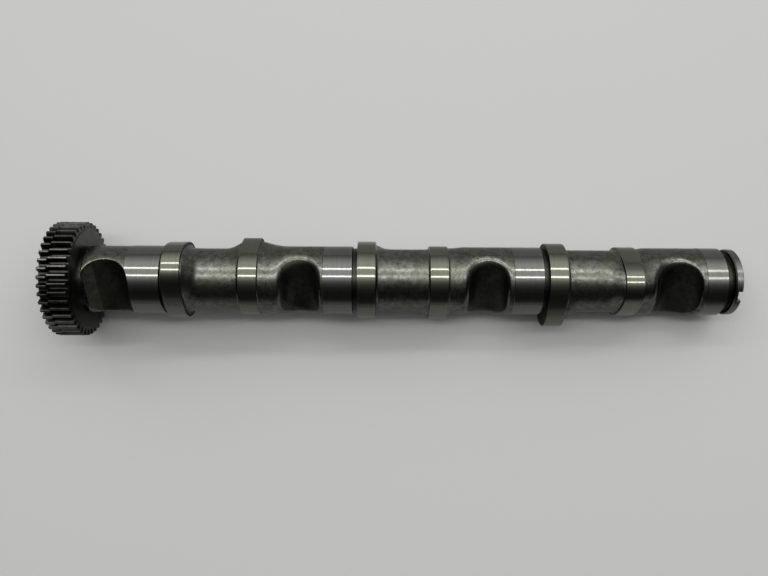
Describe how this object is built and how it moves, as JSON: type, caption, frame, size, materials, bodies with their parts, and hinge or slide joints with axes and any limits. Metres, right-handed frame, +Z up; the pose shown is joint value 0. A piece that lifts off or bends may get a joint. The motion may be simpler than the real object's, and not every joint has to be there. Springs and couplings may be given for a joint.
{
  "type": "camshaft",
  "caption": "Camshaft of a three-cylinder bank: ground journals and lobes on a rough cast shaft, bolt pockets, and a split anti-backlash gear at one end.",
  "frame": {"origin": "on the shaft axis, at the middle of the second bearing journal", "axes": "+X along the shaft from the gear end to the thrust collar, +Z up with the bolt pockets facing mostly up, as the shaft lies"},
  "size_m": [0.3309, 0.055, 0.055],
  "materials": {
    "cast_shaft": "rough cast core, ground journals and lobes",
    "gear_steel": "machined teeth, dark oiled",
    "spring_steel": "dark oiled"
  },
  "bodies": {
    "camshaft": {"camshaft": "cast_shaft", "drive_gear": "gear_steel", "intermediate_washer": "spring_steel", "disc_spring": "spring_steel", "retaining_ring": "spring_steel"},
    "backlash_gear": {"backlash_gear": "gear_steel"}
  },
  "joints": [
    {"name": "backlash_turn", "type": "hinge", "parent": "camshaft", "child": "backlash_gear", "pos_m": [-0.13235, 0, 0], "axis": [-1, 0, 0], "range_deg": [0, 2.15], "stiffness_Nm_per_rad": 20}
  ]
}
